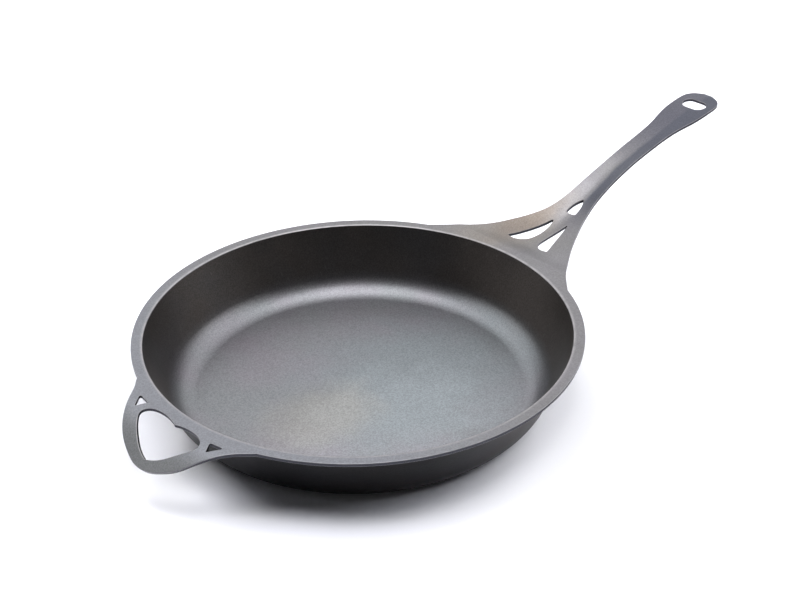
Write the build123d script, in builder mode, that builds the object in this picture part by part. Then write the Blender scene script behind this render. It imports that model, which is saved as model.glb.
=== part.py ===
from build123d import *
from math import atan, cos, radians, sin, tan
import os

# Skillet pressed from one iron plate. Millimetres. Origin at the centre of the base
# underside, +Z up, +X along the long handle, the helper handle on -X.

# ---- plate and bowl ----
PLATE = 2.5
HEIGHT = 50.0
RIM_INNER_R = 150.0
RIM_OUTER_R = 158.0
WALL_FLARE = radians(24)
CORNER_R = 20.0
RIM_LIP_R = 1.2
UNDER_RIM_R = 2.0

FLARE_SIN = sin(WALL_FLARE)
FLARE_COS = cos(WALL_FLARE)
# Tangent of half the turn from the wall to the rim: a bend's tangent length per radius.
HALF_TURN_TAN = tan((radians(90) - WALL_FLARE) / 2)
CORNER_Z = PLATE + CORNER_R
CORNER_TOP_Z = CORNER_Z - CORNER_R * FLARE_SIN
FLOOR_R = RIM_INNER_R - (HEIGHT - CORNER_TOP_Z) * tan(WALL_FLARE) - CORNER_R * FLARE_COS
FLANGE_BOTTOM = HEIGHT - PLATE

# ---- long handle ----
ROOT_INNER_X = 138.0
SHANK_START_X = 248.0
SHANK_END_X = 336.0
HANDLE_TIP_X = 397.5
# One row per station: x, height of the valley line over the rim, slope of the two flanks.
HANDLE_STATIONS = [
    (ROOT_INNER_X, 0.0, 0.0),
    (148.0, 0.0, 0.0),
    (RIM_OUTER_R, 0.0, 0.0),
    (166.0, -1.6, 0.012),
    (174.0, -3.4, 0.045),
    (184.0, -4.6, 0.10),
    (194.0, -4.8, 0.168),
    (204.0, -4.0, 0.22),
    (214.0, -2.0, 0.263),
    (224.0, 1.3, 0.29),
    (234.0, 5.5, 0.32),
    (244.0, 10.0, 0.33),
    (256.0, 15.2, 0.30),
    (270.0, 20.4, 0.26),
    (286.0, 25.6, 0.213),
    (304.0, 30.5, 0.155),
    (322.0, 34.8, 0.097),
    (340.0, 38.8, 0.047),
    (358.0, 42.3, 0.019),
    (380.0, 45.5, 0.01),
    (400.0, 48.3, 0.0),
]
SHEET_HALF_WIDTH = 80.0
# Half outline from the rim, along the flared root and the shank, to the tip.
HANDLE_OUTLINE = [
    (141.2, 70.9),
    (156.9, 55.6),
    (172.0, 44.4),
    (188.0, 33.9),
    (204.0, 25.2),
    (220.0, 18.1),
    (236.0, 13.8),
    (256.0, 11.7),
    (284.0, 10.8),
    (308.0, 11.0),
    (328.0, 11.5),
    (342.0, 13.1),
    (356.0, 15.9),
    (370.0, 17.1),
    (380.0, 17.1),
    (386.3, 16.5),
    (390.5, 14.5),
    (393.9, 10.8),
    (396.6, 5.0),
    (HANDLE_TIP_X, 0.0),
]
ROOT_DIRECTION = (0.71, -0.70)

# ---- vents in the root of the long handle ----
BLADE_CORNER = (176.3, 19.7)
BLADE_TIP = (216.0, 7.1)
BLADE_OUTER_MID = (195.0, 13.1)
BLADE_INNER = [(177.4, 10.2), (182.5, 6.1), (191.5, 4.3), (205.0, 4.7)]
PETAL_BASE_X = 226.6
PETAL_HALF_WIDTH = 4.3
PETAL_SHOULDER = (234.3, 3.6)
PETAL_TIP_X = 241.8
VENT_FILLET = 0.6

# ---- hang hole ----
HANG_X = 378.5
HANG_LENGTH = 21.0
HANG_WIDTH = 13.0
HANG_REACH = 10.0

# ---- helper handle ----
BEND_START_X = 158.5
BEND_TOP_R = 33.5
BEND_ANGLE = radians(41)
HELPER_TIP_X = 192.8
HELPER_SHEET_END_X = 200.0
HELPER_OUTLINE = [
    (-145.5, 62.3),
    (-152.5, 54.5),
    (-161.3, 48.1),
    (-170.5, 41.8),
    (-180.5, 33.0),
    (-187.8, 20.5),
    (-191.3, 11.0),
    (-HELPER_TIP_X, 0.0),
]
HELPER_DIRECTION = (-0.70, -0.71)
FINGER_CUSP_X = 161.8
FINGER_TIP_X = 187.4
FINGER_LOBE = [(-159.4, 9.0), (-159.1, 17.0), (-162.7, 26.9), (-167.2, 29.1)]
FINGER_SIDE = [(-171.8, 26.6), (-177.7, 20.2), (-184.0, 10.3)]
SIDE_VENT = [(-156.6, 43.4), (-158.7, 32.0), (-166.4, 36.8)]
SIDE_VENT_FILLET = 0.8
UPWARD = 0.5


def station_lean(index):
    """Slope of the valley line at a station, from its neighbours."""
    before = HANDLE_STATIONS[max(index - 1, 0)]
    after = HANDLE_STATIONS[min(index + 1, len(HANDLE_STATIONS) - 1)]
    return (after[1] - before[1]) / (after[0] - before[0])


def flank_corners(index):
    """Section of one flank of the plate at a station, from the valley line outward."""
    height, flank = HANDLE_STATIONS[index][1:]
    drop = PLATE / cos(atan(station_lean(index)))
    valley = HEIGHT + height
    side = valley + flank * SHEET_HALF_WIDTH
    top = [(0, valley), (SHEET_HALF_WIDTH, side)]
    return top + [(y, z - drop) for y, z in reversed(top)]


def wall_point(depth, outward):
    """Point on the wall, down from the top of the inner cone and out through the plate."""
    r = RIM_INNER_R - depth * tan(WALL_FLARE) + outward / FLARE_COS
    return (r, HEIGHT - depth)


# Plane of the plate at the hang hole, between the last two stations around it.
HANG_BEFORE, HANG_AFTER = HANDLE_STATIONS[-3], HANDLE_STATIONS[-2]
hang_slope = (HANG_AFTER[1] - HANG_BEFORE[1]) / (HANG_AFTER[0] - HANG_BEFORE[0])
hang_z = HEIGHT + HANG_BEFORE[1] + (HANG_X - HANG_BEFORE[0]) * hang_slope
hang_plane = Plane(
    origin=(HANG_X, 0, hang_z), x_dir=(1, 0, hang_slope), z_dir=(-hang_slope, 0, 1)
)

# ---- floor ----
with BuildPart() as pan_floor:
    with BuildSketch():
        Circle(FLOOR_R)
    extrude(amount=PLATE)

# ---- rounded corner between floor and wall ----
corner_centre = (FLOOR_R, CORNER_Z)
corner_in_top = (FLOOR_R + CORNER_R * FLARE_COS, CORNER_TOP_Z)
outer_corner_r = CORNER_R + PLATE
corner_out_top = (
    FLOOR_R + outer_corner_r * FLARE_COS,
    CORNER_Z - outer_corner_r * FLARE_SIN,
)
corner_out_start = (FLOOR_R, 0)
corner_in_start = (FLOOR_R, PLATE)
with BuildPart() as corner_bend:
    with BuildSketch(Plane.XZ):
        with BuildLine():
            TangentArc(corner_out_start, corner_out_top, tangent=(1, 0))
            Line(corner_out_top, corner_in_top)
            TangentArc(corner_in_start, corner_in_top, tangent=(1, 0))
            Line(corner_in_start, corner_out_start)
        make_face()
    revolve(axis=Axis.Z)

# ---- flared wall ----
wall_in_top = wall_point(PLATE, 0)
wall_out_top = wall_point(PLATE, PLATE)
under_reach = UNDER_RIM_R * HALF_TURN_TAN
under_on_rim = (wall_out_top[0] + under_reach, FLANGE_BOTTOM)
under_on_wall = (
    wall_out_top[0] - under_reach * FLARE_SIN,
    FLANGE_BOTTOM - under_reach * FLARE_COS,
)
with BuildPart() as side_wall:
    with BuildSketch(Plane.XZ):
        with BuildLine():
            Line(corner_in_top, corner_out_top)
            Line(corner_out_top, under_on_wall)
            TangentArc(under_on_rim, under_on_wall, tangent=(-1, 0))
            Line(under_on_rim, wall_in_top)
            Line(wall_in_top, corner_in_top)
        make_face()
    revolve(axis=Axis.Z)

# ---- turned-out rim ----
lip_reach = RIM_LIP_R * HALF_TURN_TAN
lip_on_top = (RIM_INNER_R + lip_reach, HEIGHT)
lip_on_wall = (RIM_INNER_R - lip_reach * FLARE_SIN, HEIGHT - lip_reach * FLARE_COS)
with BuildPart() as rim_flange:
    with BuildSketch(Plane.XZ):
        with BuildLine():
            Line(wall_in_top, (RIM_OUTER_R, FLANGE_BOTTOM))
            Line((RIM_OUTER_R, FLANGE_BOTTOM), (RIM_OUTER_R, HEIGHT))
            Line((RIM_OUTER_R, HEIGHT), lip_on_top)
            TangentArc(lip_on_top, lip_on_wall, tangent=(-1, 0))
            Line(lip_on_wall, wall_in_top)
        make_face()
    revolve(axis=Axis.Z)

# ---- long handle, whole, before it is divided by region ----
with BuildPart() as handle_blank:
    for index, station in enumerate(HANDLE_STATIONS):
        with BuildSketch(Plane.YZ.offset(station[0])):
            with BuildLine():
                Polyline(*flank_corners(index), close=True)
            make_face()
    loft()
    mirror(about=Plane.XZ)
    with BuildSketch():
        with BuildLine():
            Spline(*HANDLE_OUTLINE, tangents=[ROOT_DIRECTION, (0, -1)])
            Line(HANDLE_OUTLINE[0], (HANDLE_OUTLINE[0][0], 0))
            mirror(about=Plane.XZ)
        make_face()
        Circle(RIM_OUTER_R, mode=Mode.SUBTRACT)
    extrude(amount=2 * HEIGHT, mode=Mode.INTERSECT)
    # blade vents
    with BuildSketch():
        with BuildLine():
            ThreePointArc(BLADE_CORNER, BLADE_OUTER_MID, BLADE_TIP)
            Spline(BLADE_CORNER, *BLADE_INNER, BLADE_TIP)
        make_face()
        fillet(vertices(), VENT_FILLET)
        mirror(about=Plane.XZ)
    extrude(amount=2 * HEIGHT, mode=Mode.SUBTRACT)
    # petal vent
    with BuildSketch():
        with BuildLine():
            Line((PETAL_BASE_X, 0), (PETAL_BASE_X, PETAL_HALF_WIDTH))
            ThreePointArc((PETAL_BASE_X, PETAL_HALF_WIDTH), PETAL_SHOULDER, (PETAL_TIP_X, 0))
            mirror(about=Plane.XZ)
        make_face()
        fillet(vertices(), VENT_FILLET)
    extrude(amount=2 * HEIGHT, mode=Mode.SUBTRACT)
    # hang hole, square to the plate
    with BuildSketch(hang_plane):
        SlotOverall(HANG_LENGTH, HANG_WIDTH, rotation=90)
    extrude(amount=HANG_REACH, both=True, mode=Mode.SUBTRACT)

with BuildPart() as handle_root:
    add(handle_blank.part)
    split(bisect_by=Plane.YZ.offset(SHANK_START_X), keep=Keep.BOTTOM)

with BuildPart() as handle_shank:
    add(handle_blank.part)
    split(bisect_by=Plane.YZ.offset(SHANK_START_X), keep=Keep.TOP)
    split(bisect_by=Plane.YZ.offset(SHANK_END_X), keep=Keep.BOTTOM)

with BuildPart() as handle_end:
    add(handle_blank.part)
    split(bisect_by=Plane.YZ.offset(SHANK_END_X), keep=Keep.TOP)

# ---- helper handle, flat at the rim and bent down to the tip ----
bend_end_x = BEND_START_X + BEND_TOP_R * sin(BEND_ANGLE)
bend_end_z = HEIGHT - BEND_TOP_R * (1 - cos(BEND_ANGLE))
ramp_run = HELPER_SHEET_END_X - bend_end_x
ramp_end = (-HELPER_SHEET_END_X, bend_end_z - ramp_run * tan(BEND_ANGLE))
with BuildPart() as helper_blank:
    with BuildSketch(Plane.XZ):
        with BuildLine():
            flat = Line((0, HEIGHT), (-BEND_START_X, HEIGHT))
            bend = TangentArc(flat @ 1, (-bend_end_x, bend_end_z), tangent=(-1, 0))
            Line(bend @ 1, ramp_end)
            offset(amount=PLATE, side=Side.LEFT)
        make_face()
    extrude(amount=RIM_OUTER_R, both=True)
    # outline in plan
    with BuildSketch():
        with BuildLine():
            Spline(*HELPER_OUTLINE, tangents=[HELPER_DIRECTION, (0, -1)])
            Line(HELPER_OUTLINE[0], (HELPER_OUTLINE[0][0], 0))
            mirror(about=Plane.XZ)
        make_face()
        Circle(RIM_OUTER_R, mode=Mode.SUBTRACT)
    extrude(amount=2 * HEIGHT, mode=Mode.INTERSECT)
    # finger opening
    with BuildSketch():
        with BuildLine():
            Spline((-FINGER_CUSP_X, 0), *FINGER_LOBE, *FINGER_SIDE, (-FINGER_TIP_X, 0))
            mirror(about=Plane.XZ)
        make_face()
    extrude(amount=2 * HEIGHT, mode=Mode.SUBTRACT)
    # two small side vents
    with BuildSketch():
        with BuildLine():
            Polyline(*SIDE_VENT, close=True)
        make_face()
        fillet(vertices(), SIDE_VENT_FILLET)
        mirror(about=Plane.XZ)
    extrude(amount=2 * HEIGHT, mode=Mode.SUBTRACT)

# its edges are square to the bent plate, so the plate is rebuilt from its upper faces
upper_faces = [f for f in helper_blank.faces() if f.normal_at().Z > UPWARD]
with BuildPart() as helper_handle:
    thicken(upper_faces, amount=-PLATE)

os.makedirs("parts", exist_ok=True)
pan_floor.part.label = "pan_floor"
export_step(pan_floor.part, "parts/pan_floor.step")
corner_bend.part.label = "corner_bend"
export_step(corner_bend.part, "parts/corner_bend.step")
side_wall.part.label = "side_wall"
export_step(side_wall.part, "parts/side_wall.step")
rim_flange.part.label = "rim_flange"
export_step(rim_flange.part, "parts/rim_flange.step")
handle_root.part.label = "handle_root"
export_step(handle_root.part, "parts/handle_root.step")
handle_shank.part.label = "handle_shank"
export_step(handle_shank.part, "parts/handle_shank.step")
handle_end.part.label = "handle_end"
export_step(handle_end.part, "parts/handle_end.step")
helper_handle.part.label = "helper_handle"
export_step(helper_handle.part, "parts/helper_handle.step")
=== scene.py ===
import math

import bmesh
import bpy
import numpy as np
from mathutils import Matrix, Vector
from mathutils.geometry import delaunay_2d_cdt


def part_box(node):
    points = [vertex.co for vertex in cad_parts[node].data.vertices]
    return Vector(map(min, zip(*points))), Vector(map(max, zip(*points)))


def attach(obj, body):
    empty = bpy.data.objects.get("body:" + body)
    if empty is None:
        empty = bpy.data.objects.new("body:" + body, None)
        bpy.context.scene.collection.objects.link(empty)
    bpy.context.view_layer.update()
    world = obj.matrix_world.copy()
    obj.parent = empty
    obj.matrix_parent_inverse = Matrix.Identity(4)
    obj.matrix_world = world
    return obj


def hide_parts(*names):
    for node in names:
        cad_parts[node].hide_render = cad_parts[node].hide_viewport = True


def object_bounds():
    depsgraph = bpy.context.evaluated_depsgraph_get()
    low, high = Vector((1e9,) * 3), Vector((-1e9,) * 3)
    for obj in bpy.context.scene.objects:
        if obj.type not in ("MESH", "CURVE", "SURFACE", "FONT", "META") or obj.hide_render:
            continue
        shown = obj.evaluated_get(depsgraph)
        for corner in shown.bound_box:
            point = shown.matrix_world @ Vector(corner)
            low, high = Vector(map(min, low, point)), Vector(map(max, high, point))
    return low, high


# One-piece iron skillet. Metres, in the frame of the CAD model: origin at the centre of the
# base underside, +Z up, +X along the long handle, the helper handle on -X.

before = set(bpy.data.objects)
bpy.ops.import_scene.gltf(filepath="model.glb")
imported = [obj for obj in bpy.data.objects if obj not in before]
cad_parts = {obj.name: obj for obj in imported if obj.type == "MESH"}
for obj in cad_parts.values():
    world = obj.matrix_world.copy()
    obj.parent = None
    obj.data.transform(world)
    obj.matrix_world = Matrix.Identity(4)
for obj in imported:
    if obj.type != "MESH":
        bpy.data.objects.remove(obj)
cad_low, cad_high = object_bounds()

# ---------------------------------------------------------------- sizes of the iron plate
WALL_FLARE = math.radians(24)
LIP_R = 0.0012
UNDER_RIM_R = 0.0020
ARRIS_R = 0.00045
CREASE_R = 0.0030

HELPER_BEND_START = 0.1585
HELPER_BEND_R = 0.0335
HELPER_BEND_ANGLE = math.radians(41)

FLOOR_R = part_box("pan_floor")[1].x
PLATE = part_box("pan_floor")[1].z
RIM_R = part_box("rim_flange")[1].y
RIM_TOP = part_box("rim_flange")[1].z
CORNER_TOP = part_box("corner_bend")[1].z
CORNER_R = (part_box("corner_bend")[1].x - FLOOR_R) / math.cos(WALL_FLARE) - PLATE
CORNER_TOP_R = FLOOR_R + CORNER_R * math.cos(WALL_FLARE)
WALL_TOP_R = CORNER_TOP_R + (RIM_TOP - CORNER_TOP) * math.tan(WALL_FLARE)

# ---------------------------------------------------------------- mesh density
AROUND = 384
FLOOR_RINGS = 14
CORNER_RINGS = 18
WALL_RINGS = 14
ARC_STEPS = 4
OUTLINE_STEP = 0.0012
GRID_STEP = 0.0015
HELPER_EASING = 24
GRID_CLEARANCE = 0.0009
WELD = 0.000005
ON_RIM = 10 * WELD
APART = 20 * WELD
UPWARD = 0.7
VALLEY_GAP = 0.0015
FLANK_REACH = 0.006
SLOPE_PROBE = 0.0005
NORMAL_PROBE = 0.0004
HANDLES_HALF_WIDTH = 0.072
HOLE_STEP = 0.6 * OUTLINE_STEP
SMALLEST_HOLE = 0.005
TRIANGLE_TOLERANCE = 1e-9

# Mask of wear and painted shade: 0 on a face, rising over a rubbed arris, and the value below on
# the cut side between two, which is darkened there as painted shade.
PAINTED_SHADE_SIDE = -1.0
# Over the lip it follows a sine, from this share of a half turn to a whole one.
LIP_WEAR_FROM = 0.25

HANDLE_NODES = ("handle_root", "handle_shank", "handle_end")


# ---------------------------------------------------------------- curves through given points
class SmoothCurve:
    """Cubic curve through points at increasing parameters, of any number of coordinates."""

    def __init__(self, at, values):
        self.at = np.asarray(at, float)
        self.values = np.asarray(values, float)
        gaps = np.diff(self.at)
        shape = (-1,) + (1,) * (self.values.ndim - 1)
        chords = np.diff(self.values, axis=0) / gaps.reshape(shape)
        slopes = np.empty_like(self.values)
        before, after = gaps[:-1].reshape(shape), gaps[1:].reshape(shape)
        slopes[1:-1] = (chords[:-1] * after + chords[1:] * before) / (before + after)
        slopes[0], slopes[-1] = chords[0], chords[-1]
        self.slopes = slopes

    def __call__(self, t):
        t = np.clip(np.asarray(t, float), self.at[0], self.at[-1])
        i = np.clip(np.searchsorted(self.at, t, side="right") - 1, 0, len(self.at) - 2)
        gap = self.at[i + 1] - self.at[i]
        s = (t - self.at[i]) / gap
        if self.values.ndim == 2:
            s, gap = s[..., None], gap[..., None]
        start, end = self.values[i], self.values[i + 1]
        lean_start, lean_end = self.slopes[i] * gap, self.slopes[i + 1] * gap
        rest = 1 - s
        return (
            start * (1 + 2 * s) * rest**2
            + lean_start * s * rest**2
            + end * s**2 * (3 - 2 * s)
            - lean_end * s**2 * rest
        )


def lengths_along(points):
    """Distance along a line of points, from its start to each point."""
    steps = np.linalg.norm(np.diff(points, axis=0), axis=1)
    return np.concatenate([[0.0], np.cumsum(steps)])


def resample(points, step):
    """Evenly spaced points on a smooth curve through the given ones, both ends kept."""
    along = lengths_along(points)
    count = max(2, int(round(along[-1] / step)) + 1)
    return SmoothCurve(along, points)(np.linspace(0, along[-1], count))


# ---------------------------------------------------------------- outlines read from the CAD
def upper_faces(node):
    """A CAD node's mesh with its points welded, and the faces of its upper side."""
    mesh = bmesh.new()
    mesh.from_mesh(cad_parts[node].data)
    bmesh.ops.remove_doubles(mesh, verts=mesh.verts, dist=WELD)
    mesh.normal_update()
    return mesh, {f for f in mesh.faces if f.normal.z > UPWARD}


def upper_loops(node):
    """Closed outlines of the upper face of a CAD node, the longest first."""
    mesh, upper = upper_faces(node)
    border = [e for e in mesh.edges if sum(f in upper for f in e.link_faces) == 1]
    neighbours = {}
    for e in border:
        a, b = e.verts
        neighbours.setdefault(a, []).append(b)
        neighbours.setdefault(b, []).append(a)
    loops, done = [], set()
    for start in neighbours:
        if start in done:
            continue
        loop, here = [], start
        while here is not None:
            done.add(here)
            loop.append(tuple(here.co))
            here = next((v for v in neighbours[here] if v not in done), None)
        loops.append(np.array(loop))
    mesh.free()
    return sorted(loops, key=lambda p: -lengths_along(p)[-1])


def far_edge(nodes, cuts=()):
    """The +Y half of a handle's outer edge, from the rim out to the tip, as 3-D points."""
    points = np.vstack([upper_loops(n)[0] for n in nodes])
    points = points[points[:, 1] > -WELD]
    radius = np.hypot(points[:, 0], points[:, 1])
    on_rim = points[np.abs(radius - RIM_R) < ON_RIM]
    joint = on_rim[np.argmax(on_rim[:, 1])]
    outside = points[radius > RIM_R + ON_RIM]
    for cut in cuts:
        at_cut = np.abs(outside[:, 0] - cut) < 2 * WELD
        if at_cut.any():
            best = outside[at_cut][np.argmax(outside[at_cut][:, 1])]
            outside = np.vstack([outside[~at_cut], best])
    outside = outside[np.argsort(np.abs(outside[:, 0]))]
    edge = np.vstack([joint, outside])
    gaps = np.linalg.norm(np.diff(edge, axis=0), axis=1)
    edge = edge[np.concatenate([[True], gaps > APART])]
    edge[-1, 1] = 0.0
    return edge


shank_low, shank_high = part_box("handle_shank")
handle_edge = far_edge(HANDLE_NODES, (shank_low.x, shank_high.x))
helper_edge = far_edge(("helper_handle",))


# ---------------------------------------------------------------- upper surface of the plate
def valley_line():
    """Height of the fold line along the long handle, as a curve of x."""
    found = [(RIM_R, RIM_TOP)]
    for node in HANDLE_NODES:
        mesh, upper = upper_faces(node)
        for v in {v for f in upper for v in f.verts}:
            if abs(v.co.y) < WELD and v.co.x > RIM_R + VALLEY_GAP:
                found.append((v.co.x, v.co.z))
        mesh.free()
    line = np.array(sorted(found))
    apart = np.concatenate([[True], np.diff(line[:, 0]) > VALLEY_GAP])
    return SmoothCurve(line[apart, 0], line[apart, 1])


valley = valley_line()
edge_out = handle_edge[(handle_edge[:, 0] > RIM_R) & (handle_edge[:, 1] > FLANK_REACH)]
flank_at = np.concatenate([[RIM_R], edge_out[:, 0], [cad_high.x]])
flank_rise = (edge_out[:, 2] - valley(edge_out[:, 0])) / edge_out[:, 1]
flank = SmoothCurve(flank_at, np.concatenate([[0.0], flank_rise, [flank_rise[-1]]]))


def helper_lean(out):
    """Angle of the helper handle below level, a distance out from the pan's centre."""
    turn = np.clip((out - HELPER_BEND_START) / HELPER_BEND_R, 0, math.sin(HELPER_BEND_ANGLE))
    return np.arcsin(turn)


def helper_drop(out):
    """How far the helper handle's upper face lies below the rim."""
    lean = helper_lean(out)
    bend_end = HELPER_BEND_START + HELPER_BEND_R * math.sin(HELPER_BEND_ANGLE)
    straight = np.maximum(out - bend_end, 0) * math.tan(HELPER_BEND_ANGLE)
    return HELPER_BEND_R * (1 - np.cos(lean)) + straight


def upper_height(plan):
    """Height of the plate's upper face at points in plan."""
    x, y = plan[:, 0], plan[:, 1]
    across = np.sqrt(y**2 + CREASE_R**2) - 0.5 * CREASE_R
    along_handle = valley(x) + flank(x) * across
    height = np.where(x > RIM_R, along_handle, RIM_TOP)
    return np.where(x < -HELPER_BEND_START, RIM_TOP - helper_drop(-x), height)


def through_plate(plan):
    """Vector from the upper face to the lower one: square to the helper, level cuts elsewhere."""
    x = plan[:, 0]
    lean = (valley(x + SLOPE_PROBE) - valley(x - SLOPE_PROBE)) / (2 * SLOPE_PROBE)
    lean = np.where(x > RIM_R, lean, 0.0)
    down = np.zeros((len(plan), 3))
    down[:, 2] = -PLATE * np.sqrt(1 + lean**2)
    tilt = helper_lean(np.maximum(-x, 0))
    bent = x < -HELPER_BEND_START
    down[bent, 0] = PLATE * np.sin(tilt[bent])
    down[bent, 2] = -PLATE * np.cos(tilt[bent])
    return down


def upper_normal(plan):
    """Unit normal of the upper face at points in plan."""
    dx, dy = np.array([NORMAL_PROBE, 0.0]), np.array([0.0, NORMAL_PROBE])
    slope_x = (upper_height(plan + dx) - upper_height(plan - dx)) / (2 * NORMAL_PROBE)
    slope_y = (upper_height(plan + dy) - upper_height(plan - dy)) / (2 * NORMAL_PROBE)
    normal = np.stack([-slope_x, -slope_y, np.ones(len(plan))], 1)
    return normal / np.linalg.norm(normal, axis=1, keepdims=True)


def in_plate(plan, depth):
    """3-D points at a depth of 0 to 1 through the plate."""
    top = np.column_stack([plan, upper_height(plan)])
    return top + through_plate(plan) * np.reshape(depth, (-1, 1))


# ---------------------------------------------------------------- mesh making
class MeshMaker:
    """Collects points, normals, faces and one named mask, and makes one smooth mesh object."""

    def __init__(self, mask_name):
        self.mask_name = mask_name
        self.points, self.normals, self.mask, self.faces = [], [], [], []

    def add(self, points, normals, mask=0.0):
        start = len(self.points)
        self.points.extend(map(tuple, points))
        self.normals.extend(map(tuple, normals))
        self.mask.extend(np.broadcast_to(mask, len(points)))
        return np.arange(start, start + len(points))

    def strip(self, upper, lower):
        """Faces between two closed rows of the same length."""
        for i in range(len(upper)):
            j = (i + 1) % len(upper)
            self.faces.append((upper[i], upper[j], lower[j], lower[i]))

    def make(self, name, material):
        mesh = bpy.data.meshes.new(name)
        mesh.from_pydata(self.points, [], [tuple(int(i) for i in f) for f in self.faces])
        mask = mesh.attributes.new(self.mask_name, "FLOAT", "POINT")
        mask.data.foreach_set("value", np.array(self.mask, np.float32))
        mesh.polygons.foreach_set("use_smooth", [True] * len(mesh.polygons))
        mesh.update()
        mesh.normals_split_custom_set_from_vertices(self.normals)
        mesh.materials.append(material)
        piece = bpy.data.objects.new(name, mesh)
        bpy.context.scene.collection.objects.link(piece)
        return piece


def ring(radius, height, offset=0.0):
    """Points of one circle about the pan's axis."""
    turn = (np.arange(AROUND) + offset) / AROUND * 2 * math.pi
    return np.stack([radius * np.cos(turn), radius * np.sin(turn), np.full(AROUND, height)], 1)


def turned_normals(out, up):
    """Normals of one circle, from their outward and upward shares."""
    turn = np.arange(AROUND) / AROUND * 2 * math.pi
    return np.stack([out * np.cos(turn), out * np.sin(turn), np.full(AROUND, up)], 1)


FLARE_SIN, FLARE_COS = math.sin(WALL_FLARE), math.cos(WALL_FLARE)
HALF_TURN = math.tan((math.pi / 2 - WALL_FLARE) / 2)
LIP_REACH = LIP_R * HALF_TURN
UNDER_REACH = UNDER_RIM_R * HALF_TURN
WALL_OUT_R = WALL_TOP_R - PLATE * math.tan(WALL_FLARE) + PLATE / FLARE_COS
LIP_ON_WALL = (WALL_TOP_R - LIP_REACH * FLARE_SIN, RIM_TOP - LIP_REACH * FLARE_COS)
LIP_ON_TOP = (WALL_TOP_R + LIP_REACH, RIM_TOP)
UNDER_ON_WALL = (
    WALL_OUT_R - UNDER_REACH * FLARE_SIN,
    RIM_TOP - PLATE - UNDER_REACH * FLARE_COS,
)
UNDER_ON_RIM = (WALL_OUT_R + UNDER_REACH, RIM_TOP - PLATE)


def bowl_profile():
    """Inner face from the lip down to the centre, as rows of (r, z, normal out, normal up)."""
    rows = []
    corner_in = (CORNER_TOP_R, CORNER_TOP)
    for t in np.linspace(0, 1, WALL_RINGS, endpoint=False):
        r = LIP_ON_WALL[0] + (corner_in[0] - LIP_ON_WALL[0]) * t
        z = LIP_ON_WALL[1] + (corner_in[1] - LIP_ON_WALL[1]) * t
        rows.append((r, z, -FLARE_COS, FLARE_SIN))
    for tilt in np.linspace(math.pi / 2 - WALL_FLARE, 0, CORNER_RINGS + 1):
        r = FLOOR_R + CORNER_R * math.sin(tilt)
        z = PLATE + CORNER_R * (1 - math.cos(tilt))
        rows.append((r, z, -math.sin(tilt), math.cos(tilt)))
    for t in np.linspace(1, 0, FLOOR_RINGS, endpoint=False)[1:]:
        rows.append((FLOOR_R * t, PLATE, 0.0, 1.0))
    return rows


def outer_profile():
    """Outer face from the centre of the base up to the bend under the rim."""
    rows = []
    outer_r = CORNER_R + PLATE
    for t in np.linspace(0, 1, FLOOR_RINGS, endpoint=False)[1:]:
        rows.append((FLOOR_R * t, 0.0, 0.0, -1.0))
    for tilt in np.linspace(0, math.pi / 2 - WALL_FLARE, CORNER_RINGS + 1):
        r = FLOOR_R + outer_r * math.sin(tilt)
        z = outer_r * (1 - math.cos(tilt))
        rows.append((r, z, math.sin(tilt), -math.cos(tilt)))
    start = rows[-1]
    for t in np.linspace(0, 1, WALL_RINGS)[1:]:
        r = start[0] + (UNDER_ON_WALL[0] - start[0]) * t
        z = start[1] + (UNDER_ON_WALL[1] - start[1]) * t
        rows.append((r, z, FLARE_COS, -FLARE_SIN))
    return rows


def make_bowl(material):
    bowl = MeshMaker("outside")
    inner = [bowl.add(ring(r, z), turned_normals(*lean)) for r, z, *lean in bowl_profile()]
    outer = [bowl.add(ring(r, z), turned_normals(*lean), 1.0) for r, z, *lean in outer_profile()]
    top_pole = bowl.add([(0, 0, PLATE)], [(0, 0, 1)])[0]
    base_pole = bowl.add([(0, 0, 0)], [(0, 0, -1)], 1.0)[0]
    for rows in (inner, outer):
        for upper, lower in zip(rows, rows[1:]):
            bowl.strip(upper, lower)
    for i in range(AROUND):
        j = (i + 1) % AROUND
        bowl.faces.append((inner[-1][i], inner[-1][j], top_pole))
        bowl.faces.append((outer[0][j], outer[0][i], base_pole))
    bowl.strip(outer[-1], inner[0])
    return bowl.make("bowl_shell", material)


# ---------------------------------------------------------------- rim and handles in plan
def mirrored(half):
    """A closed loop from its +Y half, which starts and ends on the X axis."""
    return np.vstack([half, (half * (1, -1))[-2:0:-1]])


def eased(half, passes):
    """Rounds off small corners of a half outline, its start kept, its end on the X axis."""
    for _ in range(passes):
        before = np.vstack([half[:1], half[:-1]])
        after = np.vstack([half[1:], half[-2:-1] * (1, -1)])
        middle = (before + 2 * half + after) / 4
        half = np.vstack([half[:1], middle[1:]])
    return half


def outer_outline():
    """Plan outline of the rim and both handles, counter-clockwise from the long handle's tip."""
    handle = resample(handle_edge[:, :2], OUTLINE_STEP)[::-1]
    helper = resample(helper_edge[:, :2], OUTLINE_STEP)
    helper = eased(helper, HELPER_EASING)
    turn_from = math.atan2(handle[-1, 1], handle[-1, 0])
    turn_to = math.atan2(helper[0, 1], helper[0, 0])
    count = int((turn_to - turn_from) * RIM_R / (2 * OUTLINE_STEP))
    turn = np.linspace(turn_from, turn_to, count)[1:-1]
    rim = RIM_R * np.stack([np.cos(turn), np.sin(turn)], 1)
    return mirrored(np.vstack([handle, rim, helper]))


def signed_area(loop):
    x, y = loop[:, 0], loop[:, 1]
    return 0.5 * np.sum(x * np.roll(y, -1) - np.roll(x, -1) * y)


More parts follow.
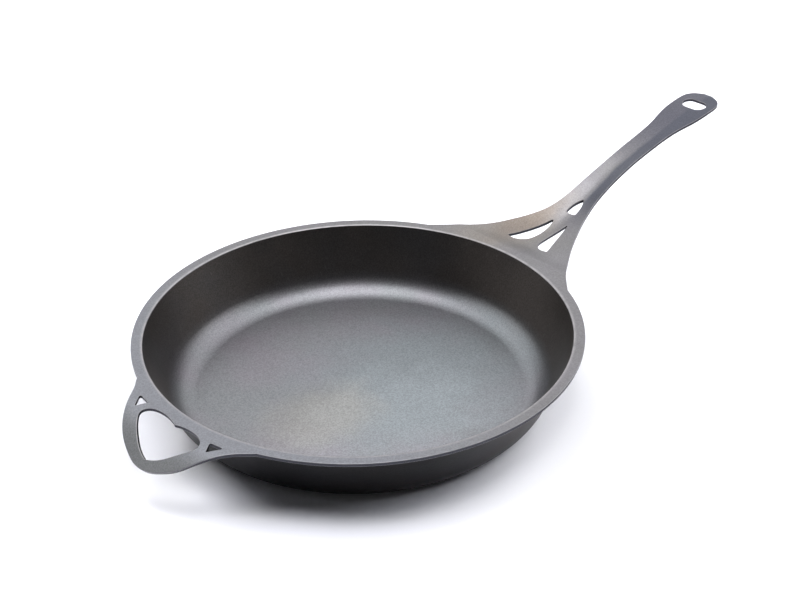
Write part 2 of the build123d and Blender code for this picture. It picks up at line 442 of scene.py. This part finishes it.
def hole_outlines():
    """Outlines of the vents, the hang hole and the finger opening, clockwise."""
    loops = []
    for node in (*HANDLE_NODES, "helper_handle"):
        for loop in upper_loops(node)[1:]:
            closed = np.vstack([loop, loop[:1]])[:, :2]
            if lengths_along(closed)[-1] < SMALLEST_HOLE:
                continue
            even = resample(closed, HOLE_STEP)[:-1]
            loops.append(even if signed_area(even) < 0 else even[::-1])
    return loops


def outward(loop):
    """Unit directions in plan, out of the plate, at each point of a loop."""
    along = np.roll(loop, -1, axis=0) - loop
    along /= np.linalg.norm(along, axis=1, keepdims=True)
    side = np.stack([along[:, 1], -along[:, 0]], 1)
    both = side + np.roll(side, 1, axis=0)
    return both / np.linalg.norm(both, axis=1, keepdims=True)


def inside(points, loops):
    """Which points lie inside an outline and outside its holes."""
    odd = np.zeros(len(points), bool)
    for loop in loops:
        for (ax, ay), (bx, by) in zip(loop, np.roll(loop, -1, axis=0)):
            spans = (ay > points[:, 1]) != (by > points[:, 1])
            if not spans.any():
                continue
            cross = ax + (points[:, 1] - ay) * (bx - ax) / ((by - ay) or 1.0)
            odd ^= spans & (points[:, 0] < cross)
    return odd


def filling(loops, ring_from):
    """Points inside the outlines: circles on the rim, a square grid on the handles."""
    radii = np.arange(ring_from + GRID_STEP, RIM_R - GRID_CLEARANCE, GRID_STEP)
    circles = [ring(r, 0, offset=0.5 * (i % 2 + 1))[:, :2] for i, r in enumerate(radii)]
    xs = np.arange(round(cad_low.x / GRID_STEP), round(cad_high.x / GRID_STEP) + 1) * GRID_STEP
    rows = round(HANDLES_HALF_WIDTH / GRID_STEP)
    ys = np.arange(-rows, rows + 1) * GRID_STEP
    grid = np.stack(np.meshgrid(xs, ys), -1).reshape(-1, 2)
    grid = grid[np.hypot(grid[:, 0], grid[:, 1]) > RIM_R]
    points = np.vstack([*circles, grid])
    points = points[inside(points, loops)]
    edge = np.vstack(loops)
    clear = np.array([np.min(np.sum((edge - p) ** 2, axis=1)) for p in points])
    return points[clear > GRID_CLEARANCE**2]


def fill_face(maker, rows, plans, ring_row, ring_plan, depth, ring_from):
    """Triangulates one face of the plate between its border rows and joins it to them."""
    loops = [*plans, ring_plan]
    indices = np.concatenate([*rows, ring_row])
    extra = filling(loops, ring_from)
    sign = 1 if depth == 0 else -1
    normals = sign * upper_normal(extra)
    indices = np.concatenate([indices, maker.add(in_plate(extra, depth), normals)])
    coords = [Vector(p) for p in np.vstack([*loops, extra])]
    edges, start = [], 0
    for loop in loops:
        n = len(loop)
        edges += [(start + i, start + (i + 1) % n) for i in range(n)]
        start += n
    found = delaunay_2d_cdt(coords, edges, [], 0, TRIANGLE_TOLERANCE)
    source = [found[3][i][0] for i in range(len(found[0]))]
    where = np.array([tuple(v) for v in found[0]])
    faces = np.array([tuple(f) for f in found[2]])
    faces = faces[inside(where[faces].mean(axis=1), loops)]
    for face in faces:
        corners = [int(indices[source[i]]) for i in face]
        maker.faces.append(corners if sign > 0 else corners[::-1])


def arris_rows():
    """Inset and depth shares of the rows over a rounded edge, a side and the other edge."""
    turns = np.linspace(0, math.pi / 2, ARC_STEPS + 1)
    share = ARRIS_R / PLATE
    top = [(ARRIS_R * (1 - math.sin(a)), share * (1 - math.cos(a)), a) for a in turns]
    bottom = [(inset, 1 - depth, math.pi - a) for inset, depth, a in reversed(top)]
    return top + bottom


def rounded_edge(maker, outline):
    """Rows of points over one cut edge of the plate, joined from the upper face to the lower."""
    out = outward(outline)
    rows = []
    for inset, depth, turn in arris_rows():
        plan = outline - out * inset
        points = in_plate(plan, depth)
        along = np.roll(points, -1, axis=0) - np.roll(points, 1, axis=0)
        side = np.cross(along, -through_plate(plan))
        side /= np.linalg.norm(side, axis=1, keepdims=True)
        side *= np.sign(np.sum(side[:, :2] * out, axis=1))[:, None]
        normal = math.cos(turn) * upper_normal(plan) + math.sin(turn) * side
        # The cut side gets the value that marks painted shade.
        wear_and_side_shade = math.sin(turn) if turn != math.pi / 2 else PAINTED_SHADE_SIDE
        rows.append((plan, maker.add(points, normal, wear_and_side_shade)))
    for (_, upper), (_, lower) in zip(rows, rows[1:]):
        maker.strip(lower, upper)
    return rows[0], rows[-1]


def bend_to_wall(maker, start, radius, side, wear_and_side_shade):
    """Circles over the bend from rim to wall, on the upper side (1) or the lower one (-1)."""
    circles = []
    for t in np.linspace(0, 1, ARC_STEPS + 2):
        turn = t * (math.pi / 2 - WALL_FLARE)
        r = start[0] - radius * math.sin(turn)
        z = start[1] - radius * (1 - math.cos(turn))
        normals = turned_normals(-side * math.sin(turn), side * math.cos(turn))
        worn = wear_and_side_shade * math.sin(math.pi * (LIP_WEAR_FROM + (1 - LIP_WEAR_FROM) * t))
        circles.append(maker.add(ring(r, z), normals, worn))
    return circles


def make_rim(material):
    rim = MeshMaker("wear_and_side_shade")
    edges = [rounded_edge(rim, outline) for outline in (outer_outline(), *hole_outlines())]
    top_plans, top_rows = zip(*[top for top, _ in edges])
    low_plans, low_rows = zip(*[low for _, low in edges])
    lip = bend_to_wall(rim, LIP_ON_TOP, LIP_R, 1, 1.0)
    under = bend_to_wall(rim, UNDER_ON_RIM, UNDER_RIM_R, -1, 0.0)
    for upper, lower in zip(lip, lip[1:]):
        rim.strip(upper, lower)
    for upper, lower in zip(under, under[1:]):
        rim.strip(lower, upper)
    rim.strip(lip[-1], under[-1])
    top_ring = ring(LIP_ON_TOP[0], 0)[:, :2]
    fill_face(rim, top_rows, top_plans, lip[0], top_ring, 0, LIP_ON_TOP[0])
    low_ring = ring(UNDER_ON_RIM[0], 0)[:, :2]
    fill_face(rim, low_rows, low_plans, under[0], low_ring, 1, UNDER_ON_RIM[0])
    return rim.make("rim_and_handles", material)


# ---------------------------------------------------------------- materials
# Colours of the bowl's iron, inside and outside.
BOWL_LILAC = (0.192, 0.180, 0.202, 1)
BOWL_BLUE = (0.176, 0.184, 0.194, 1)
BOWL_CENTRE = (0.176, 0.194, 0.208, 1)
BOWL_WARM = (0.207, 0.205, 0.199, 1)
# Painted shade: the inner wall, from the corner up, is coloured darker than the floor.
WALL_PAINTED_SHADE = (0.093, 0.090, 0.093, 1)
WALL_BROWN_PAINTED_SHADE = (0.102, 0.091, 0.086, 1)
# Partly painted shade: the outside of the bowl is coloured near black.
OUTSIDE_BLACK_AND_SHADE = (0.024, 0.024, 0.026, 1)
OUTSIDE_BROWN_AND_SHADE = (0.032, 0.028, 0.026, 1)

# Colours of the rim's and handles' iron.
RIM_GREY = (0.157, 0.155, 0.158, 1)
RIM_LILAC = (0.163, 0.158, 0.170, 1)
RIM_BLUE = (0.172, 0.177, 0.196, 1)
PADDLE_BLUE = (0.084, 0.084, 0.104, 1)
# Painted shade: the near flank of the long handle is coloured dark blue.
FLANK_PAINTED_SHADE = (0.060, 0.064, 0.084, 1)
# Painted shade: the helper handle past its bend is coloured darker.
HELPER_PAINTED_SHADE = (0.124, 0.127, 0.132, 1)
HEAT_TAN = (0.228, 0.207, 0.176, 1)
HEAT_BROWN = (0.150, 0.096, 0.066, 1)
# Painted shade: the cut sides of the plate are coloured dark.
SIDE_PAINTED_SHADE = (0.045, 0.045, 0.052, 1)
BARE_IRON = (0.30, 0.29, 0.30, 1)

# Tinted patches, each with its centre, its reach along the axes and the softness of its border.
BLUE_PATCH = ((0.03, -0.025, 0), (0.085, 0.07, 0.05), 0.55)
WARM_PATCH = ((-0.046, -0.008, 0), (0.042, 0.030, 0.03), 0.5)
# Painted light: a patch on the bowl's floor made up to 18% brighter.
PAINTED_LIGHT_PATCH = ((-0.022, -0.050, 0), (0.080, 0.055, 0.05), 0.6)
TAN_PATCH = ((0.186, 0.032, 0.05), (0.054, 0.032, 0.03), 0.6)
BROWN_PATCH = ((0.198, 0.024, 0.05), (0.034, 0.016, 0.03), 0.6)

# Where one colour turns into another, start and end: x along the pan, z for the wall's painted
# shade, y for the painted shade on the near side of the long handle, whose border wanders a
# little.
TO_RIM_BLUE = (0.05, -0.12)
TO_PADDLE = (0.265, 0.355)
TO_HELPER_SHADE = (-0.160, -0.186)
TO_FLANK_SHADE = (0.205, 0.250)
TO_WALL_SHADE = (0.006, 0.020)
TO_NEAR_SIDE_SHADE = (0.0015, -0.0025)
NEAR_SIDE_SHADE_WANDER = 0.002

# Shares of a tint, a mark or a painted shade that show, from 0 to 1.
WARM_SHARE = 0.75
FLANK_SHADE_SHARE = 0.85
TAN_SHARE = 0.55
BROWN_SHARE = 0.30
BOWL_MARKS_SHARE = 0.12
RIM_MARKS_SHARE = 0.10

# Ranges of the noise, from 0 to 1, over which clouds, grain and marks come and go.
CLOUDS = (0.32, 0.68)
GRAIN = (0.3, 0.7)
MARKS = (0.66, 0.74)
MARK_LENGTHS = (0.48, 0.62)
RUBBED = (0.25, 0.6)

# Pattern scales, in repeats per metre.
MARKS_SCALE = 60
BORDER_SCALE = 38
LENGTHS_SCALE = 24


class Surface:
    """A procedural surface built from nodes around one Principled shader."""

    def __init__(self, name):
        self.material = bpy.data.materials.new(name)
        self.material.use_nodes = True
        self.tree = self.material.node_tree
        self.shader = self.tree.nodes["Principled BSDF"]
        self.place = self.node("ShaderNodeTexCoord").outputs["Object"]
        split = self.node("ShaderNodeSeparateXYZ")
        self.feed(split.inputs[0], self.place)
        self.x, self.y, self.z = split.outputs

    def node(self, kind, **settings):
        node = self.tree.nodes.new(kind)
        for key, value in settings.items():
            setattr(node, key, value)
        return node

    def feed(self, socket, value):
        if isinstance(value, bpy.types.NodeSocket):
            self.tree.links.new(value, socket)
        else:
            socket.default_value = value

    def math(self, operation, *values):
        node = self.node("ShaderNodeMath", operation=operation)
        for socket, value in zip(node.inputs, values):
            self.feed(socket, value)
        return node.outputs[0]

    def noise(self, scale, detail=2.0, stretch=(1, 1, 1), rough=0.55):
        moved = self.node("ShaderNodeVectorMath", operation="MULTIPLY")
        self.feed(moved.inputs[0], self.place)
        self.feed(moved.inputs[1], stretch)
        node = self.node("ShaderNodeTexNoise")
        self.feed(node.inputs["Vector"], moved.outputs[0])
        self.feed(node.inputs["Scale"], scale)
        self.feed(node.inputs["Detail"], detail)
        self.feed(node.inputs["Roughness"], rough)
        return node.outputs[0]

    def rescale(self, value, low, high, to_low=0.0, to_high=1.0):
        node = self.node("ShaderNodeMapRange", interpolation_type="SMOOTHSTEP")
        for socket, given in zip(node.inputs, (value, low, high, to_low, to_high)):
            self.feed(socket, given)
        return node.outputs[0]

    def mix(self, amount, first, second, blend="MIX"):
        node = self.node("ShaderNodeMix", data_type="RGBA", blend_type=blend)
        self.feed(node.inputs[0], amount)
        self.feed(node.inputs[6], first)
        self.feed(node.inputs[7], second)
        return node.outputs[2]

    def patch(self, centre, reach, fade):
        """1 inside an upright ellipsoid with a soft uneven border, 0 outside."""
        moved = self.node("ShaderNodeVectorMath", operation="SUBTRACT")
        self.feed(moved.inputs[0], self.place)
        self.feed(moved.inputs[1], centre)
        scaled = self.node("ShaderNodeVectorMath", operation="DIVIDE")
        self.feed(scaled.inputs[0], moved.outputs[0])
        self.feed(scaled.inputs[1], reach)
        length = self.node("ShaderNodeVectorMath", operation="LENGTH")
        self.feed(length.inputs[0], scaled.outputs[0])
        uneven = self.math("MULTIPLY_ADD", self.noise(BORDER_SCALE, 3), 0.9, -0.45)
        return self.rescale(self.math("ADD", length.outputs["Value"], uneven), 1 + fade, 1 - fade)

    def streaks(self, stretch):
        """Long thin soft streaks, in broken lengths."""
        line = self.rescale(self.noise(MARKS_SCALE, 1.0, stretch), *MARKS)
        lengths = self.rescale(self.noise(LENGTHS_SCALE, 1), *MARK_LENGTHS)
        return self.math("MULTIPLY", line, lengths)

    def bump(self, *layers):
        """Adds height layers of (height, strength, depth) one over another."""
        normal = None
        for height, strength, depth in layers:
            node = self.node("ShaderNodeBump")
            self.feed(node.inputs["Strength"], strength)
            self.feed(node.inputs["Distance"], depth)
            self.feed(node.inputs["Height"], height)
            if normal is not None:
                self.feed(node.inputs["Normal"], normal)
            normal = node.outputs["Normal"]
        self.feed(self.shader.inputs["Normal"], normal)

    def finish(self, color, roughness):
        self.feed(self.shader.inputs["Base Color"], color)
        self.feed(self.shader.inputs["Roughness"], roughness)
        self.shader.inputs["Metallic"].default_value = 1.0
        return self.material


def seasoned_iron():
    """Matte blasted iron: blue, lilac and warm clouds inside, a patch of painted light, a wall
    darkened with painted shade, a black outside partly painted shade.
    """
    iron = Surface("seasoned_iron")
    clouds = iron.rescale(iron.noise(11, 4), *CLOUDS)
    color = iron.mix(clouds, BOWL_LILAC, BOWL_BLUE)
    color = iron.mix(iron.patch(*BLUE_PATCH), color, BOWL_CENTRE)
    warm = iron.math("MULTIPLY", iron.patch(*WARM_PATCH), WARM_SHARE)
    color = iron.mix(warm, color, BOWL_WARM)
    # Painted light: the floor brightened within a patch.
    painted_light = iron.rescale(iron.patch(*PAINTED_LIGHT_PATCH), 0.0, 1.0, 0.97, 1.18)
    color = iron.mix(1.0, color, painted_light, "MULTIPLY")
    # Painted shade: above the corner the wall turns to a darker colour.
    wall = iron.mix(clouds, WALL_PAINTED_SHADE, WALL_BROWN_PAINTED_SHADE)
    color = iron.mix(iron.rescale(iron.z, *TO_WALL_SHADE), color, wall)
    grain = iron.noise(1000, 2.0, rough=0.7)
    speckle = iron.rescale(grain, *GRAIN, 0.81, 1.19)
    color = iron.mix(1.0, color, speckle, "MULTIPLY")
    marks = iron.streaks((9.0, 9.0, 0.5))
    color = iron.mix(iron.math("MULTIPLY", marks, BOWL_MARKS_SHARE), color, BARE_IRON)
    outside = iron.node("ShaderNodeAttribute", attribute_name="outside").outputs["Fac"]
    # Partly painted shade: the outside takes near-black colours.
    dark_outside_and_shade = iron.mix(clouds, OUTSIDE_BLACK_AND_SHADE, OUTSIDE_BROWN_AND_SHADE)
    color = iron.mix(outside, color, iron.mix(1.0, dark_outside_and_shade, speckle, "MULTIPLY"))
    iron.bump((iron.noise(420, 2.0), 0.20, 0.0002), (grain, 0.28, 0.0001))
    roughness = iron.rescale(iron.noise(17, 3), *GRAIN, 0.40, 0.47)
    return iron.finish(color, roughness)


def satin_iron():
    """Smooth satin iron: blue ends, heat tint by the long handle's root, bright worn edges,
    painted shade on the near flank, the bent helper and the cut sides.
    """
    iron = Surface("satin_iron")
    clouds = iron.rescale(iron.noise(14, 4), *CLOUDS)
    color = iron.mix(clouds, RIM_GREY, RIM_LILAC)
    color = iron.mix(iron.rescale(iron.x, *TO_RIM_BLUE), color, RIM_BLUE)
    color = iron.mix(iron.rescale(iron.x, *TO_PADDLE), color, PADDLE_BLUE)
    # Painted shade: the helper handle turns darker past its bend.
    color = iron.mix(iron.rescale(iron.x, *TO_HELPER_SHADE), color, HELPER_PAINTED_SHADE)
    # Painted shade on the near flank of the long handle, with a wandering border.
    wandering_y = iron.math("MULTIPLY_ADD", clouds, NEAR_SIDE_SHADE_WANDER, iron.y)
    near_side_shade = iron.rescale(wandering_y, *TO_NEAR_SIDE_SHADE)
    shaded_flank = iron.math("MULTIPLY", near_side_shade, iron.rescale(iron.x, *TO_FLANK_SHADE))
    color = iron.mix(iron.math("MULTIPLY", shaded_flank, FLANK_SHADE_SHARE), color, FLANK_PAINTED_SHADE)
    tint = iron.patch(*TAN_PATCH)
    color = iron.mix(iron.math("MULTIPLY", tint, TAN_SHARE), color, HEAT_TAN)
    brown = iron.patch(*BROWN_PATCH)
    color = iron.mix(iron.math("MULTIPLY", brown, BROWN_SHARE), color, HEAT_BROWN)
    grain = iron.noise(950, 2.0, rough=0.7)
    speckle = iron.rescale(grain, *GRAIN, 0.84, 1.16)
    color = iron.mix(1.0, color, speckle, "MULTIPLY")
    marks = iron.streaks((0.5, 8.0, 8.0))
    color = iron.mix(iron.math("MULTIPLY", marks, RIM_MARKS_SHARE), color, BARE_IRON)
    # The mask holds rubbed wear above zero and painted shade on the cut sides below zero.
    edge = iron.node("ShaderNodeAttribute", attribute_name="wear_and_side_shade").outputs["Fac"]
    uneven = iron.rescale(iron.noise(160, 3), *RUBBED, 0.35, 1.0)
    rubbed = iron.math("MULTIPLY", edge, uneven)
    color = iron.mix(rubbed, color, BARE_IRON)
    # Painted shade: the cut sides darkened.
    color = iron.mix(iron.rescale(edge, 0.0, -0.8), color, SIDE_PAINTED_SHADE)
    iron.bump((iron.noise(260, 2.0), 0.18, 0.0002), (grain, 0.22, 0.0001))
    roughness = iron.rescale(iron.noise(23, 3), *GRAIN, 0.34, 0.46)
    return iron.finish(color, roughness)


bowl = make_bowl(seasoned_iron())
rim = make_rim(satin_iron())
for piece, nodes, slot in (
    (bowl, ("pan_floor", "corner_bend", "side_wall"), "bowl_iron"),
    (rim, ("rim_flange", "helper_handle", *HANDLE_NODES), "rim_iron"),
):
    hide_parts(*nodes)
    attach(piece, "root")

# ---------------------------------------------------------------- studio
FLOOR_SPAN = 30.0
FLOOR_GAP = 0.0001
PAPER = (0.92, 0.92, 0.935, 1)

VIEW = (0.593, 0.616, -0.5184)
VIEW_BEARING = math.atan2(VIEW[1], VIEW[0])
CAMERA_AT = (-0.67638, -0.74521, 0.68224)
CAMERA_ROLL = math.radians(-0.992)
CAMERA_LENS = 76.5

# Round soft lights: name, elevation, bearing from the view line and width in degrees, brightness.
IRON_LIGHTS = (
    ("overhead_softbox", 87, 180, 50, 4.4),
    ("back_softbox", 40, 4, 60, 1.68),
    ("right_softbox", 38, 76, 54, 2.15),
    ("left_softbox", 38, -66, 58, 1.85),
)
FLOOR_LIGHTS = (
    ("left_on_floor", 62, -75, 38, 5.6),
    ("right_on_floor", 54, 94, 36, 4.8),
    ("overhead_on_floor", 81, 152, 23, 7.0),
    ("back_right_on_floor", 21, 44, 42, 7.9),
    ("back_left_on_floor", 20, -34, 30, 15.8),
)
PALE_BLUE = (0.96, 0.97, 1.07)
BLUE_LIGHTS = ("left_on_floor", "right_on_floor")
SKY = (0.95, 0.97, 1.0, 1)
SKY_STRENGTH = 0.06


def make_floor():
    mesh = bmesh.new()
    bmesh.ops.create_grid(mesh, x_segments=2, y_segments=2, size=FLOOR_SPAN)
    data = bpy.data.meshes.new("studio_floor")
    mesh.to_mesh(data)
    mesh.free()
    floor = bpy.data.objects.new("studio_floor", data)
    floor.location.z = cad_low.z - FLOOR_GAP
    bpy.context.scene.collection.objects.link(floor)
    material = bpy.data.materials.new("studio_paper")
    material.use_nodes = True
    shader = material.node_tree.nodes["Principled BSDF"]
    shader.inputs["Base Color"].default_value = PAPER
    shader.inputs["Roughness"].default_value = 1.0
    shader.inputs["Specular IOR Level"].default_value = 0.0
    data.materials.append(material)


def soft_sun(name, elevation, bearing, width, brightness, lights_floor):
    """A round patch of even brightness in the sky, for either the floor or the iron."""
    data = bpy.data.lights.new(name, "SUN")
    data.angle = math.radians(width)
    data.energy = brightness * math.pi * math.sin(data.angle / 2) ** 2
    if name in BLUE_LIGHTS:
        data.color = PALE_BLUE
    lamp = bpy.data.objects.new(name, data)
    up = math.radians(elevation)
    turn = VIEW_BEARING - math.radians(bearing)
    across = math.cos(up)
    to_light = Vector((across * math.cos(turn), across * math.sin(turn), math.sin(up)))
    lamp.rotation_mode = "QUATERNION"
    lamp.rotation_quaternion = (-to_light).to_track_quat("-Z", "Y")
    lamp.visible_diffuse = lights_floor
    lamp.visible_glossy = not lights_floor
    bpy.context.scene.collection.objects.link(lamp)


def make_lights():
    for light in IRON_LIGHTS:
        soft_sun(*light, lights_floor=False)
    for light in FLOOR_LIGHTS:
        soft_sun(*light, lights_floor=True)
    world = bpy.data.worlds.new("studio")
    world.use_nodes = True
    background = world.node_tree.nodes["Background"]
    background.inputs["Color"].default_value = SKY
    background.inputs["Strength"].default_value = SKY_STRENGTH
    bpy.context.scene.world = world
    bpy.context.scene.view_settings.view_transform = "Standard"


def make_camera():
    data = bpy.data.cameras.new("camera")
    data.sensor_width = 36
    data.lens = CAMERA_LENS
    data.clip_start = 0.05
    data.clip_end = 100
    camera = bpy.data.objects.new("camera", data)
    forward = Vector(VIEW).normalized()
    level_right = forward.cross(Vector((0, 0, 1))).normalized()
    level_up = level_right.cross(forward)
    right = math.cos(CAMERA_ROLL) * level_right + math.sin(CAMERA_ROLL) * level_up
    up = -math.sin(CAMERA_ROLL) * level_right + math.cos(CAMERA_ROLL) * level_up
    turned = Matrix((right, up, -forward)).transposed().to_4x4()
    camera.matrix_world = Matrix.Translation(CAMERA_AT) @ turned
    bpy.context.scene.collection.objects.link(camera)
    bpy.context.scene.camera = camera


make_floor()
make_lights()
make_camera()

bpy.context.view_layer.update()
